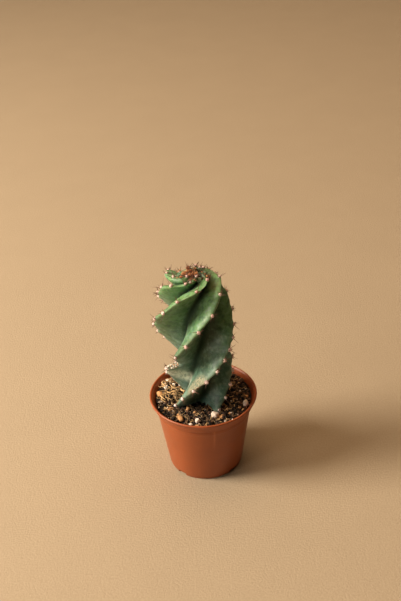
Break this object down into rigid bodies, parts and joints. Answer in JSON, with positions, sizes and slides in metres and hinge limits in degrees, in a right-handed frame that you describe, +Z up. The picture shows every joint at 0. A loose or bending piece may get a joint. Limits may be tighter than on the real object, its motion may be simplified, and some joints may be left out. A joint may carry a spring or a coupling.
{
  "type": "potted spiral cactus",
  "caption": "Young columnar cactus with deep ribs that climb in a right-handed spiral, spiny areoles on the crests, in a small tapered plastic nursery pot filled with gritty mix",
  "frame": {"origin": "centre of the pot's base, on the surface it stands on", "axes": "+Z up along the pot's axis; -Y is the pictured side; +X to the right in the picture"},
  "size_m": [0.055, 0.055, 0.1177],
  "materials": {
    "pot_plastic": "terracotta-coloured moulded plastic, satin",
    "potting_mix": "dark peat with bark, fibres and white perlite, matte",
    "cactus_skin": "waxy blue-green skin, fresher green near the tip"
  },
  "bodies": {
    "root": {"pot": "pot_plastic", "potting_mix": "potting_mix", "cactus": "cactus_skin"}
  },
  "joints": []
}
